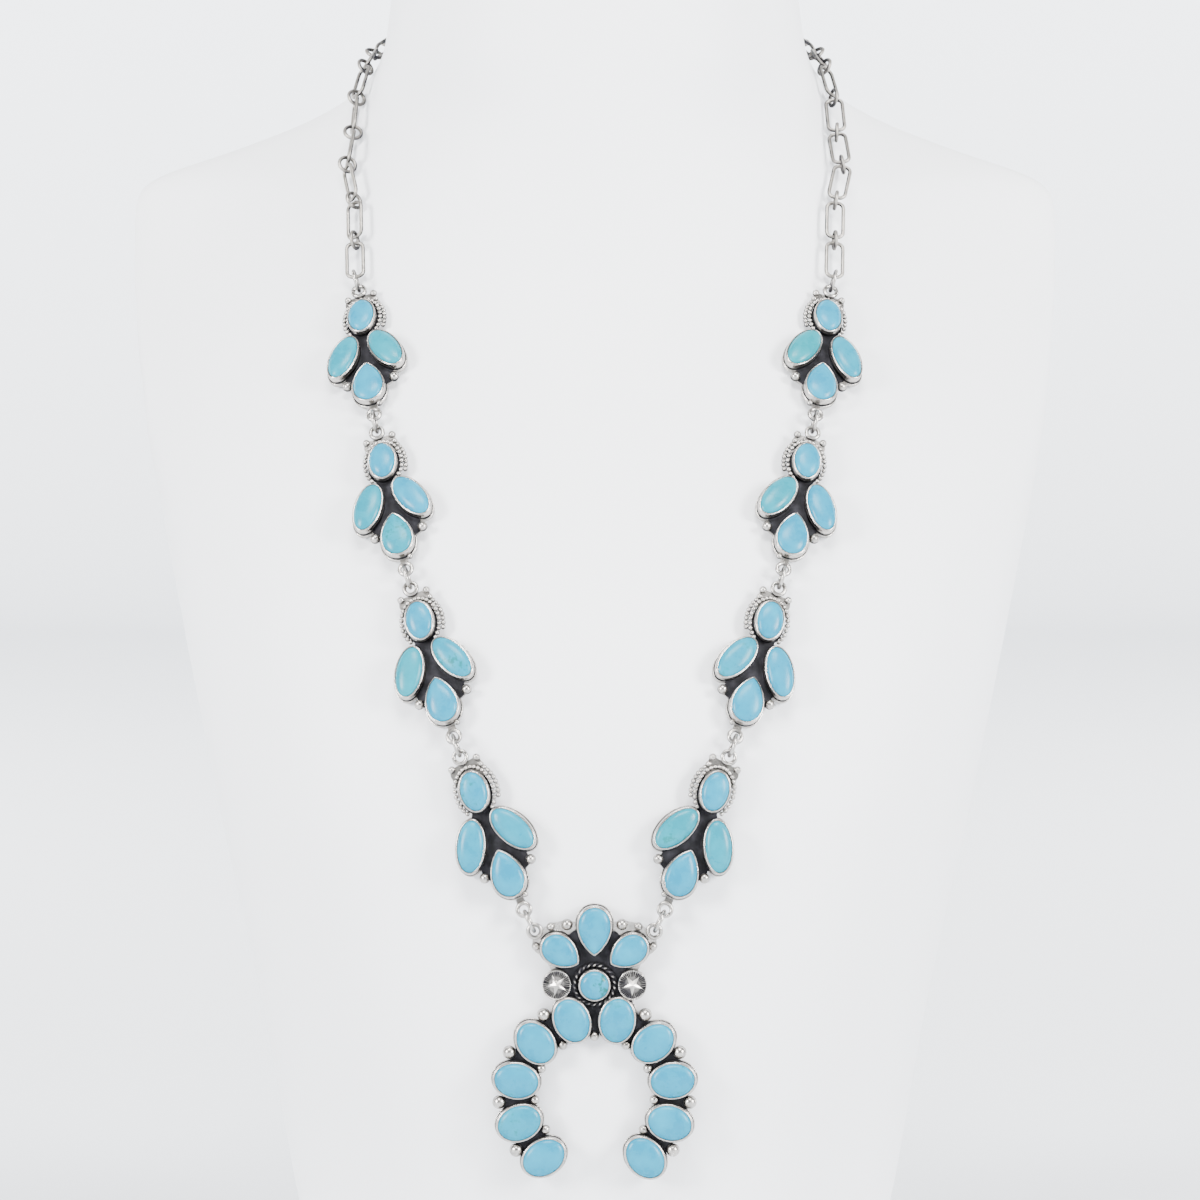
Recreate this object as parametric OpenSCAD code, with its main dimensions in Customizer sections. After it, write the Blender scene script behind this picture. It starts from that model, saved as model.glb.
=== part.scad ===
// Squash blossom necklace laid round a plain neck bust.
// Front is -Y, +X is to the viewer's right, +Z is up, and the bust's base is centred on the origin.
// Eight blossoms, four a side, hang from a paperclip chain and carry a horseshoe-shaped naja.

/* [Neck bust] */
// Height of the bust
bust_h = 385; // [375:1:395]
// Width across the shoulders
bust_w = 254; // [248:1:260]
// Depth from the chest to the back of the neck
bust_d = 178; // [172:1:184]

/* [Blossom] */
// Distance between the top and bottom loop of one blossom
blossom_l = 41.6; // [41:0.1:44]
// Thickness of the silver back plates
plate_t = 1.1; // [0.9:0.05:1.3]
// Height of the bezel walls above the back of the plate
bezel_h = 3.4; // [2.8:0.1:3.8]
// Thickness of a bezel wall
bezel_t = 0.45; // [0.35:0.05:0.6]
// Length of the small oval stone under the top loop
small_l = 9.9; // [9:0.1:10.2]
// Width of the small oval stone
small_w = 6.7; // [6:0.1:7]
// Length of the two long side stones
side_l = 13.1; // [12:0.1:13.4]
// Width of the two long side stones
side_w = 6.7; // [6:0.1:6.9]
// Length of the pear stone
pear_l = 11.8; // [11:0.1:12]
// Width of the pear stone
pear_w = 7.8; // [7:0.1:8]
// Diameter of the beads of the granulated wire
bead_d = 1.1; // [0.9:0.05:1.2]
// Diameter of the two large balls beside the pear stone
ball_d = 2.6; // [2:0.1:2.8]

/* [Stones] */
// Height of the domed top above the bezel
dome_h = 1.2; // [0.8:0.1:1.8]
// Gap between a stone and its bezel
stone_gap = 0.12; // [0.1:0.01:0.2]

/* [Pendant] */
// Radius of the horseshoe, to the middle of its stones
naja_r = 20; // [19.5:0.1:21]
// Drop from the round middle stone to the centre of the horseshoe
naja_drop = 28; // [27.5:0.1:29]
// Length of a horseshoe stone
naja_stone_l = 11; // [10:0.1:11.4]
// Width of a horseshoe stone
naja_stone_w = 8.5; // [7.8:0.1:8.7]
// Diameter of the round middle stone
round_d = 7.1; // [6.4:0.1:7.4]
// Length of the top pear stone
crest_l = 11.6; // [11:0.1:12]
// Width of the top pear stone
crest_w = 8; // [7.4:0.1:8.2]
// Length of the two slanted pear stones
wing_l = 9.9; // [9:0.1:10.2]
// Width of the two slanted pear stones
wing_w = 7.3; // [6.8:0.1:7.5]
// Height of the two oval star buttons
button_l = 7.8; // [7:0.1:8]
// Width of the two star buttons
button_w = 7.2; // [6.6:0.1:7.4]
// Distance between the two hanging loops of the pendant
pendant_loop_w = 30; // [29:0.1:31]
// Diameter of the balls on the outside of the horseshoe
naja_ball_d = 3.4; // [2.8:0.1:3.6]

/* [Chain and rings] */
// Length of a long link, outside
link_l = 11.4; // [10.8:0.1:12]
// Width of a long link, outside
link_w = 5.4; // [5:0.1:6]
// Diameter of a round link, outside
ring_d = 5.5; // [5.3:0.1:6]
// Wire of the chain
chain_wire = 1; // [0.9:0.05:1.1]
// Diameter of a jump ring, outside
jump_d = 6.45; // [6.4:0.05:6.8]
// Wire of the jump rings
jump_wire = 0.95; // [0.85:0.05:1]
// Diameter of a soldered loop, outside
loop_d = 4.3; // [4.2:0.05:4.6]
// Wire of the soldered loops
loop_wire = 1.05; // [0.95:0.05:1.1]
// Length of the plain clasp
clasp_l = 18; // [16:0.5:20]
// Width of the plain clasp
clasp_w = 6; // [5.6:0.1:7]

/* [Hidden] */
// Least gap between two wires that link, what a jump ring has beside it, and the gaps between the
// silver and the bust
link_gap = 0.17;
jump_slack = 0.25;
seat_gap = 0.7;
chain_seat_gap = 0.45;
// Points round a stone's outline, and rings and points of the bust
stone_points = 24;
bust_points = 44;
// Height of the exact flat foot of the bust
foot_h = 4;
// Room between the back of a stone and its plate, and how far a plate shows outside a bezel
stone_bed = 0.1;
plate_lip = 0.35;
// How far a soldered piece sinks into what it is soldered to
solder = 0.12;
// Radius of the corners of a long link, to the middle of its wire
link_bend = 1.6;

// Bust sections from the foot to the top of the neck. Height is a share of bust_h and width a
// share of half of bust_w. Front, side and back are shares of bust_d behind the middle of the foot.
// Square and fall are the exponents of a section: below 1 it is boxy, above 1 its sides are drawn thin,
// and round_share is the share of the front that stays round there.
round_share = 0.25;
HEIGHT = 0;
WIDTH = 1;
FRONT = 2;
SIDE = 3;
BACK = 4;
SQUARE = 5;
FALL = 6;
sections = [
    [0.00, 0.550, -0.350, 0.000, 0.350, 0.83, 0.83],
    [0.10, 0.622, -0.397, 0.000, 0.385, 0.83, 0.83],
    [0.23, 0.690, -0.421, 0.000, 0.425, 0.83, 0.83],
    [0.35, 0.772, -0.412, 0.010, 0.455, 0.83, 0.83],
    [0.47, 0.850, -0.341, 0.045, 0.480, 0.87, 0.87],
    [0.57, 0.915, -0.232, 0.095, 0.500, 0.90, 0.95],
    [0.64, 0.962, -0.137, 0.157, 0.520, 0.95, 1.20],
    [0.72, 0.990, -0.031, 0.262, 0.540, 1.00, 2.30],
    [0.76, 0.998, -0.011, 0.322, 0.550, 1.00, 3.20],
    [0.785, 1.000, -0.004, 0.354, 0.557, 1.00, 3.80],
    [0.80, 0.985, -0.001, 0.368, 0.560, 1.00, 4.10],
    [0.815, 0.850, 0.001, 0.370, 0.565, 1.00, 3.80],
    [0.835, 0.680, 0.003, 0.355, 0.570, 1.00, 2.80],
    [0.855, 0.545, 0.005, 0.328, 0.574, 1.00, 1.75],
    [0.885, 0.460, 0.006, 0.298, 0.577, 1.00, 1.05],
    [0.93, 0.437, 0.006, 0.294, 0.579, 1.00, 1.00],
    [1.00, 0.430, 0.006, 0.294, 0.579, 1.00, 1.00]
];

// Chosen points of the necklace's way from the pendant to the clasp: turn round the bust in
// degrees from the middle of the front, and height as a share of bust_h.
way_points = [[15.9, 0.424], [22.2, 0.533], [26.6, 0.636], [29.6, 0.723],
    [29.8, 0.785], [36, 0.816], [54, 0.843], [90, 0.883], [128, 0.908], [180, 0.922]];

// Stones of a blossom: kind, across and down as shares of blossom_l from the top loop, and turn.
// Across is positive to the inner side, and a turn leans the top of the stone inwards.
KIND = 0;
ACROSS = 1;
DOWN = 2;
TURN = 3;
blossom_stones = [
    ["small", 0, 0.228, 7],
    ["outer", -0.147, 0.527, 26],
    ["inner", 0.130, 0.525, -26],
    ["pear", -0.008, 0.762, 2]
];

// Balls of a blossom: across and down as above, and diameter as a share of ball_d
BALL = 2;
blossom_balls = [
    [-0.147, 0.732, 1], [0.155, 0.735, 1], [-0.078, 0.050, 0.72], [0.090, 0.037, 0.72],
    [0.098, 0.085, 0.58]
];

// Turns that the maker's hand gave the horseshoe stones, top to bottom, left and right
naja_slips = [[-7, 9], [9, -5], [-2, -6], [-2, 3], [18, 1]];

// Plate between the stones of a blossom and under its top balls: across and down as above
blossom_web = [[-0.06, 0.33], [0.06, 0.33], [0.155, 0.75], [0, 0.82], [-0.155, 0.74]];
blossom_crown = [[-0.09, 0.045], [0.1, 0.03], [0.115, 0.1], [0.08, 0.18], [-0.08, 0.18], [-0.1, 0.09]];

// Small balls of the pendant: place as shares of naja_r from the round stone, and diameter as a
// share of naja_ball_d
crest_balls = [[0.55, 0.73, 0.62], [0.345, 0.755, 0.85], [0.735, 0.48, 0.62]];

// How far each long link of the left and right chain is turned about the chain: link, degrees
left_twist = [[0, -12], [1, 10], [2, 34], [3, 48], [4, 36], [5, -5], [6, -14], [8, 0], [30, 0]];
right_twist = [[0, -12], [1, -20], [3, -35], [4, -42], [5, -12], [6, -26], [8, 0], [30, 0]];

// Smooth values of the bust table
last_section = len(sections) - 1;
function rise(i, c) =
    (sections[i + 1][c] - sections[i][c]) / (sections[i + 1][HEIGHT] - sections[i][HEIGHT]);
function knot_slope(i, c) =
    i == 0 ? rise(0, c) :
    i == last_section ? rise(i - 1, c) :
    let (a = rise(i - 1, c), b = rise(i, c)) a * b <= 0 ? 0 : 2 * a * b / (a + b);
slopes = [for (i = [0 : last_section]) [for (c = [HEIGHT : FALL]) knot_slope(i, c)]];
function section_at(height) =
    let (
        h = min(max(height, 0), 1),
        i = max([for (k = [0 : last_section - 1]) if (sections[k][HEIGHT] <= h) k]),
        span = sections[i + 1][HEIGHT] - sections[i][HEIGHT],
        t = (h - sections[i][HEIGHT]) / span
    )
    (2 * pow(t, 3) - 3 * pow(t, 2) + 1) * sections[i]
    + (pow(t, 3) - 2 * pow(t, 2) + t) * span * slopes[i]
    + (3 * pow(t, 2) - 2 * pow(t, 3)) * sections[i + 1]
    + (pow(t, 3) - pow(t, 2)) * span * slopes[i + 1];

// A point on the bust, at a turn from the front and a height share
function skin(turn, height) =
    let (
        s = section_at(height),
        round = pow(abs(cos(turn)), s[SQUARE]),
        fore = cos(turn) < 0 ? round : round_share * round + (1 - round_share) * pow(cos(turn), s[FALL]),
        depth = cos(turn) > 0 ? s[FRONT] - s[SIDE] : s[BACK] - s[SIDE]
    )
    [bust_w / 2 * s[WIDTH] * sign(sin(turn)) * pow(abs(sin(turn)), s[SQUARE]),
        bust_d * (s[SIDE] + depth * fore), bust_h * height];
function unit(v) = v / norm(v);
// The way out of the skin there, from points a small turn and a small share of the height away
turn_step = 1;
height_step = 0.004;
function skin_out(turn, height) =
    unit(cross(skin(turn + turn_step, height) - skin(turn - turn_step, height),
        skin(turn, height + height_step) - skin(turn, height - height_step)));

// The pendant lies against the most forward part of the chest, its round stone at this share of bust_h
pendant_share = 0.269;
pendant_seat = skin(0, pendant_share);
pendant_loop_up = 13.5;
pendant_y = pendant_seat[1] - seat_gap;
loop_level = plate_t + loop_wire / 2 - solder;
function pendant_loop(side) =
    [side * pendant_loop_w / 2, pendant_y - loop_level, pendant_seat[2] + pendant_loop_up];

// The necklace's way over the skin, as a table of turn and height by length
chain_lift = ring_d / 2 + chain_seat_gap;
start_height = pendant_loop(1)[2] / bust_h;
start_section = section_at(start_height);
start_turn = asin(pow(pendant_loop_w / (bust_w * start_section[WIDTH]), 1 / start_section[SQUARE]));
first_knots = concat([[start_turn, start_height]], way_points);
knot_count = len(first_knots);
knots = concat([2 * first_knots[0] - first_knots[1]], first_knots,
    [[360 - first_knots[knot_count - 2][0], first_knots[knot_count - 2][1]]]);
steps = 16;
function curve(i, t) =
    0.5 * (2 * knots[i] + (knots[i + 1] - knots[i - 1]) * t
    + (2 * knots[i - 1] - 5 * knots[i] + 4 * knots[i + 1] - knots[i + 2]) * pow(t, 2)
    + (3 * knots[i] - knots[i - 1] - 3 * knots[i + 1] + knots[i + 2]) * pow(t, 3));
way = concat([for (i = [1 : knot_count - 1]) for (k = [0 : steps - 1]) curve(i, k / steps)],
    [first_knots[knot_count - 1]]);
function lifted(w) = skin(w[0], w[1]) + chain_lift * skin_out(w[0], w[1]);
way_run = [for (w = way) lifted(w)];
way_length = [for (i = 0, s = 0; i < len(way); i = i + 1,
    s = s + (i < len(way) ? norm(way_run[i] - way_run[i - 1]) : 0)) s];
turn_table = [for (i = [0 : len(way) - 1]) [way_length[i], way[i][0]]];
height_table = [for (i = [0 : len(way) - 1]) [way_length[i], way[i][1]]];
side_length = way_length[len(way) - 1];
function way_at(s) = [lookup(s, turn_table), lookup(s, height_table)];
function touch(s) = let (w = way_at(s)) skin(w[0], w[1]);
function away(s) = let (w = way_at(s)) skin_out(w[0], w[1]);
function mirrored(v, side) = [side * v[0], v[1], v[2]];

// Lengths taken up along the way by one link, by the clasp and by a jump ring between two loops
function reach(outside, wire, ring, ring_wire, gap) =
    outside / 2 - wire - gap - ring_wire / 2 + (ring - ring_wire) / 2;
loop_span = 2 * reach(loop_d, loop_wire, jump_d, jump_wire, link_gap + jump_slack);
first_link = loop_span / 2 + reach(link_l, chain_wire, jump_d, jump_wire, link_gap);
blossoms = 4;
chain_start = blossoms * (blossom_l + loop_span) + first_link;
clasp_reach = reach(clasp_l, chain_wire, ring_d, chain_wire, link_gap);
pitch_most = 2 * reach(link_l, chain_wire, ring_d, chain_wire, link_gap);
chain_room = side_length - clasp_reach - chain_start;
pairs = ceil(chain_room / pitch_most + 0.5);
pitch = chain_room / (pairs - 0.5);

// A place is [middle, across, along, outwards], and mirrors for the left side
function place(middle, along, out) =
    let (z = unit(out - (out * along) * along / (along * along)), y = unit(along))
    [middle, cross(y, z), y, z];
module put(p) {
    multmatrix([
        [p[1][0], p[2][0], p[3][0], p[0][0]],
        [p[1][1], p[2][1], p[3][1], p[0][1]],
        [p[1][2], p[2][2], p[3][2], p[0][2]],
        [0, 0, 0, 1]
    ])
        children();
}

// Blossom 1 is the top one, and 4 hangs next to the pendant
function blossom_middle(row) = loop_span + blossom_l / 2 + (blossoms - row) * (blossom_l + loop_span);
function blossom_place(row, side) =
    let (
        s = blossom_middle(row),
        low = touch(s - blossom_l / 2),
        high = touch(s + blossom_l / 2),
        flat = place((low + high) / 2, high - low, away(s)),
        proud = max([for (k = [-1 : 0.25 : 1]) (touch(s + k * blossom_l / 2) - flat[0]) * flat[3]]),
        middle = flat[0] + (proud + seat_gap) * flat[3]
    )
    place(mirrored(middle, side), mirrored(flat[2], side), mirrored(flat[3], side));
function blossom_loop(row, side, end) =
    let (p = blossom_place(row, side)) p[0] + end * blossom_l / 2 * p[2] + loop_level * p[3];

// Outlines of the stones, grown by a margin. Taper is 0 for an oval, and the larger it is the sharper
// is the tip of a pear, at +Y.
pear_taper = 0.56;
wing_taper = 0.42;
function half_width(t, taper) = sin(t) * pow(sin(t / 2), taper);
function widest(taper) = max([for (t = [90 : 2 : 130]) half_width(t, taper)]);
function stone_outline(taper, l, w, margin) =
    let (a = l / 2 + margin, b = (w / 2 + margin) / widest(taper))
    [for (k = [0 : stone_points - 1])
        let (t = 360 * k / stone_points)
        [t > 180 ? b * half_width(360 - t, taper) : -b * half_width(t, taper), a * cos(t)]];

// A domed stone on its plate: a closed solid of four rings of points and a top
stone_rings = [[1, 0], [1, 0.62], [0.88, 0.86], [0.6, 0.97]];
module cabochon(taper, l, w) {
    outline = stone_outline(taper, l, w, 0);
    lift = plate_t + stone_bed;
    tall = bezel_h + dome_h - lift;
    n = stone_points;
    points = concat(
        [for (r = stone_rings) for (p = outline) [p[0] * r[0], p[1] * r[0], lift + tall * r[1]]],
        [[0, 0, lift + tall]]);
    walls = [for (r = [0 : len(stone_rings) - 2]) for (k = [0 : n - 1])
        let (a = r * n + k, b = r * n + (k + 1) % n) [a, a + n, b + n, b]];
    top = [for (k = [0 : n - 1])
        let (r = (len(stone_rings) - 1) * n) [r + k, len(points) - 1, r + (k + 1) % n]];
    color("turquoise")
        polyhedron(points, concat([[for (k = [0 : n - 1]) k]], walls, top), convexity = 2);
}

module bezel(taper, l, w) {
    linear_extrude(bezel_h)
        difference() {
            polygon(stone_outline(taper, l, w, stone_gap + bezel_t));
            polygon(stone_outline(taper, l, w, stone_gap));
        }
}
module bezel_plate(taper, l, w) {
    polygon(stone_outline(taper, l, w, stone_gap + bezel_t + plate_lip));
}
module wire_ring(outside, wire) {
    rotate_extrude()
        translate([(outside - wire) / 2, 0])
            circle(d = wire, $fn = 24);
}
module ball(d, level) {
    translate([0, 0, level])
        sphere(d = d, $fn = 24);
}

// Taper, length and width of each kind of stone
function stone_size(kind) =
    kind == "small" ? [0, small_l, small_w] :
    kind == "pear" ? [pear_taper, pear_l, pear_w] :
    kind == "crest" ? [pear_taper, crest_l, crest_w] :
    kind == "wing" ? [wing_taper, wing_l, wing_w] :
    kind == "round" ? [0, round_d, round_d] :
    kind == "naja" ? [0, naja_stone_l, naja_stone_w] :
    [0, side_l, side_w];

// In a blossom's place +X is the viewer's right, so the inner side is -side
module blossom_spot(row, side) {
    translate([-side * row[ACROSS] * blossom_l, (0.5 - row[DOWN]) * blossom_l, 0])
        rotate(side * row[TURN])
            children();
}
// Two rows of beads round the small stone: how far they stand out of the bezel and out of each other
// as shares of a bead, how many there are, and their turns from the loop in degrees
bead_out = 0.85;
outer_bead_out = 0.9;
arch_l = small_l + 2 * (stone_gap + bezel_t + bead_out * bead_d);
arch_w = small_w + 2 * (stone_gap + bezel_t + bead_out * bead_d);
arch_beads = 22;
arch_half_angle = 132;
outer_beads = 8;
outer_first_angle = 38;
outer_bead_angle = 9.5;
// The ball beside the lower loop sits at the pear's foot: its diameter as a share of ball_d, and its
// place as shares of the pear's width and length
foot_ball = 0.55;
foot_ball_at = [0.27, 0.5];

module blossom_setting(side) {
    small = blossom_stones[0];
    loop_in = blossom_l / 2 - (loop_d - loop_wire) / 2;
    color("silver") {
        linear_extrude(plate_t) {
            for (row = blossom_stones)
                blossom_spot(row, side) {
                    z = stone_size(row[KIND]);
                    bezel_plate(z[0], z[1], z[2]);
                }
            blossom_spot(small, side)
                polygon(stone_outline(0, arch_l, arch_w, bead_d / 2));
            polygon([for (p = blossom_web) [-side * p[0], 0.5 - p[1]] * blossom_l]);
            polygon([for (p = blossom_crown) [-side * p[0], 0.5 - p[1]] * blossom_l]);
            square([2 * loop_wire, 2 * loop_in], center = true);
        }
        for (row = blossom_stones)
            blossom_spot(row, side) {
                z = stone_size(row[KIND]);
                bezel(z[0], z[1], z[2]);
            }
        blossom_spot(small, side) {
            for (k = [0 : arch_beads - 1]) {
                t = arch_half_angle * (2 * k / (arch_beads - 1) - 1);
                translate([arch_w / 2 * sin(t), arch_l / 2 * cos(t), 0])
                    ball(bead_d, plate_t + bead_d / 4);
            }
            for (k = [0 : outer_beads - 1]) {
                t = -side * (outer_first_angle + outer_bead_angle * k);
                out = outer_bead_out * bead_d;
                translate([(arch_w / 2 + out) * sin(t), (arch_l / 2 + out) * cos(t), 0])
                    ball(bead_d, plate_t / 2);
            }
        }
        for (b = blossom_balls)
            translate([-side * b[0] * blossom_l, (0.5 - b[1]) * blossom_l, 0])
                ball(b[BALL] * ball_d, plate_t);
        blossom_spot(blossom_stones[3], side)
            translate([-side * foot_ball_at[0] * pear_w, -foot_ball_at[1] * pear_l - stone_gap - bezel_t, 0])
                ball(foot_ball * ball_d, plate_t);
        for (end = [-1, 1])
            translate([0, end * blossom_l / 2, loop_level])
                wire_ring(loop_d, loop_wire);
    }
}

// Pendant: the round stone is its middle, and the horseshoe's centre lies naja_drop under it
naja_first = 16.5;
naja_step = 31;
naja_count = len(naja_slips);
crest_at = 13.7;
wing_at = [8.5, 8.5];
wing_turn = 125;
// Twisted wire round the round stone, and the star buttons beside it
twist_wire = 1.5;
twist_gap = 0.1;
twist_r = round_d / 2 + stone_gap + bezel_t + twist_gap + twist_wire / 2;
button_gap = 0.2;
button_at = twist_r + twist_wire / 2 + button_gap + button_w / 2;
button_h = 2.4;
star_relief = 0.35;
star_r = 0.36 * button_w;
star_waist = 0.38;
inner_ball_share = 0.7;
ball_level = 0.9 * plate_t;
// Distances of the horseshoe's balls from its centre, and how far its band reaches and opens
naja_ball_out = 4;
naja_ball_in = 5;
naja_band_out = 3.1;
naja_band_in = 4.3;
naja_open = 143;
band_steps = 20;
// Half of the plate behind the flower, from its foot up to the hanging loop and from there to the
// top, as shares of naja_r. The two corners between them are shares of loop_d from the loop's middle.
flower_side = [[0.5, -0.5], [0.54, -0.17], [0.54, 0.17], [0.66, 0.34], [0.77, 0.4]];
loop_corners = [[0.37, -0.605], [-0.37, -0.21]];
flower_top = [[0.62, 0.76], [0.2, 0.78]];
flower_half = concat(
    [for (p = flower_side) p * naja_r],
    [for (p = loop_corners) [pendant_loop_w / 2, pendant_loop_up] + p * loop_d],
    [for (p = flower_top) p * naja_r]);
module pendant_place() {
    put([[0, pendant_y, pendant_seat[2]], [1, 0, 0], [0, 0, 1], [0, -1, 0]])
        children();
}
module naja_spot(k, side) {
    angle = naja_first + naja_step * k;
    slip = naja_slips[k][side < 0 ? 0 : 1];
    translate([side * naja_r * sin(angle), naja_r * cos(angle) - naja_drop])
        rotate(-side * (angle - slip))
            children();
}
module crest_spot() {
    translate([0, crest_at])
        rotate(180)
            children();
}
module wing_spot(side) {
    translate([side * wing_at[0], wing_at[1]])
        rotate(side * wing_turn)
            children();
}
module pendant_spots() {
    naja = stone_size("naja");
    wing = stone_size("wing");
    for (side = [-1, 1]) {
        for (k = [0 : naja_count - 1])
            naja_spot(k, side) {
                $size = naja;
                children();
            }
        wing_spot(side) {
            $size = wing;
            children();
        }
    }
    crest_spot() {
        $size = stone_size("crest");
        children();
    }
    $size = stone_size("round");
    children();
}
module star(r) {
    polygon([for (k = [0 : 9]) let (q = k % 2 == 0 ? r : star_waist * r) [q * sin(36 * k), q * cos(36 * k)]]);
}

module naja_band() {
    arc = [for (k = [-band_steps : band_steps]) naja_open * k / band_steps];
    translate([0, -naja_drop])
        polygon(concat(
            [for (t = arc) (naja_r + naja_band_out) * [sin(t), cos(t)]],
            [for (t = arc) (naja_r - naja_band_in) * [sin(-t), cos(t)]]));
}
module pendant_outline() {
    pendant_spots()
        bezel_plate($size[0], $size[1], $size[2]);
    naja_band();
    polygon([for (side = [-1, 1], i = [0 : len(flower_half) - 1])
        let (p = flower_half[side < 0 ? i : len(flower_half) - 1 - i]) [side * p[0], p[1]]]);
    for (side = [-1, 1])
        translate([side * button_at, 0])
            polygon(stone_outline(0, button_l, button_w, plate_lip));
}
module pendant_setting() {
    color("silver")
        pendant_place() {
            linear_extrude(plate_t)
                pendant_outline();
            pendant_spots()
                bezel($size[0], $size[1], $size[2]);
            translate([0, 0, plate_t + twist_wire / 4])
                wire_ring(2 * twist_r + twist_wire, twist_wire);
            for (side = [-1, 1]) {
                translate([side * button_at, 0, 0]) {
                    linear_extrude(button_h)
                        polygon(stone_outline(0, button_l, button_w, 0));
                    linear_extrude(button_h + star_relief)
                        star(star_r);
                }
                translate([side * pendant_loop_w / 2, pendant_loop_up, loop_level])
                    wire_ring(loop_d, loop_wire);
                for (b = crest_balls)
                    translate([side * b[0] * naja_r, b[1] * naja_r, 0])
                        ball(b[2] * naja_ball_d, plate_t);
                for (k = [0 : naja_count - 2])
                    naja_gap(side * (k + 0.5)) {
                        ball(naja_ball_d, ball_level);
                        ball(inner_ball_share * naja_ball_d, ball_level);
                    }
            }
            translate([0, naja_r - naja_ball_in - naja_drop, 0])
                ball(inner_ball_share * naja_ball_d, ball_level);
        }
}
// The first child sits outside the gap between two horseshoe stones, and the second inside it
module naja_gap(k) {
    translate([0, -naja_drop])
        rotate(-sign(k) * (naja_first + naja_step * abs(k))) {
            translate([0, naja_r + naja_ball_out])
                children(0);
            translate([0, naja_r - naja_ball_in])
                children(1);
        }
}

// Chain, clasp and jump rings. The places of the chain are those of the right side.
function over(s) = touch(s) + chain_lift * away(s);
function twisted(middle, along, out, twist) =
    let (p = place(middle, along, out)) place(p[0], p[2], cos(twist) * p[3] + sin(twist) * p[1]);
function long_place(k, twists) =
    let (s = chain_start + k * pitch, a = over(s - link_l / 2), b = over(s + link_l / 2))
    twisted((a + b) / 2, b - a, away(s), lookup(k, twists));
function end_wire(p, end) = p[0] + end * (link_l - chain_wire) / 2 * p[2];
clasp_middle = let (p = over(side_length - clasp_reach)) [0, p[1], p[2]];
clasp_wire = clasp_middle + [(clasp_l - chain_wire) / 2, 0, 0];
function ring_place(k, twists) =
    let (
        a = end_wire(long_place(k, twists), 1),
        b = k < pairs - 1 ? end_wire(long_place(k + 1, twists), -1) : clasp_wire
    )
    twisted((a + b) / 2, b - a, away(chain_start + (k + 0.5) * pitch), 90 + lookup(k + 0.5, twists));
function on_side(p, side) = place(mirrored(p[0], side), mirrored(p[2], side), mirrored(p[3], side));
module long_link() {
    across = (link_w - chain_wire) / 2 - link_bend;
    along = (link_l - chain_wire) / 2 - link_bend;
    for (corner = [[1, 1, 0], [-1, 1, 90], [-1, -1, 180], [1, -1, 270]])
        translate([corner[0] * across, corner[1] * along, 0])
            rotate(corner[2])
                rotate_extrude(angle = 90, $fn = 24)
                    translate([link_bend, 0])
                        circle(d = chain_wire, $fn = 24);
    for (end = [-1, 1]) {
        translate([end * (across + link_bend), 0, 0])
            rotate([90, 0, 0])
                cylinder(d = chain_wire, h = 2 * along, center = true, $fn = 24);
        translate([0, end * (along + link_bend), 0])
            rotate([0, 90, 0])
                cylinder(d = chain_wire, h = 2 * across, center = true, $fn = 24);
    }
}
module half_chain(side, twists) {
    for (k = [0 : pairs - 1]) {
        put(on_side(long_place(k, twists), side))
            long_link();
        put(on_side(ring_place(k, twists), side))
            wire_ring(ring_d, chain_wire);
    }
}
module chain() {
    color("lightgray") {
        half_chain(-1, left_twist);
        half_chain(1, right_twist);
    }
}

// A jump ring stands on edge round two wires, with its middle a little proud of theirs, so that it
// clears the bust
ring_rise = 0.6;
module jump_ring_round(a, b, out) {
    p = place((a + b) / 2, b - a, out);
    put([p[0] + ring_rise * p[3], p[3], p[2], -p[1]])
        wire_ring(jump_d, jump_wire);
}
// The middle of a loop's wire on the side of a goal
function wire_toward(loop, normal, goal) =
    let (v = goal - loop)
    loop + (loop_d - loop_wire) / 2 * unit(v - (v * normal) * normal);
module jump_ring_between(a, a_normal, b, b_normal) {
    jump_ring_round(wire_toward(a, a_normal, b), wire_toward(b, b_normal, a), unit(a_normal + b_normal));
}
module jump_rings() {
    color("silver")
        for (side = [-1, 1]) {
            first = on_side(long_place(0, left_twist), side);
            top = blossom_place(1, side)[3];
            jump_ring_between(pendant_loop(side), [0, -1, 0],
                blossom_loop(blossoms, side, -1), blossom_place(blossoms, side)[3]);
            for (row = [2 : blossoms])
                jump_ring_between(blossom_loop(row, side, 1), blossom_place(row, side)[3],
                    blossom_loop(row - 1, side, -1), blossom_place(row - 1, side)[3]);
            jump_ring_round(wire_toward(blossom_loop(1, side, 1), top, end_wire(first, -1)),
                end_wire(first, -1), unit(top + first[3]));
        }
}
module clasp() {
    bar_l = clasp_l - 2 * (clasp_w - chain_wire);
    color("silver")
        put(place(clasp_middle, [1, 0, 0], away(side_length))) {
            linear_extrude(2 * chain_wire, center = true)
                square([clasp_w / 2, bar_l], center = true);
            for (end = [-1, 1])
                translate([0, end * (clasp_l - clasp_w) / 2, 0])
                    wire_ring(clasp_w, chain_wire);
        }
}

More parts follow.
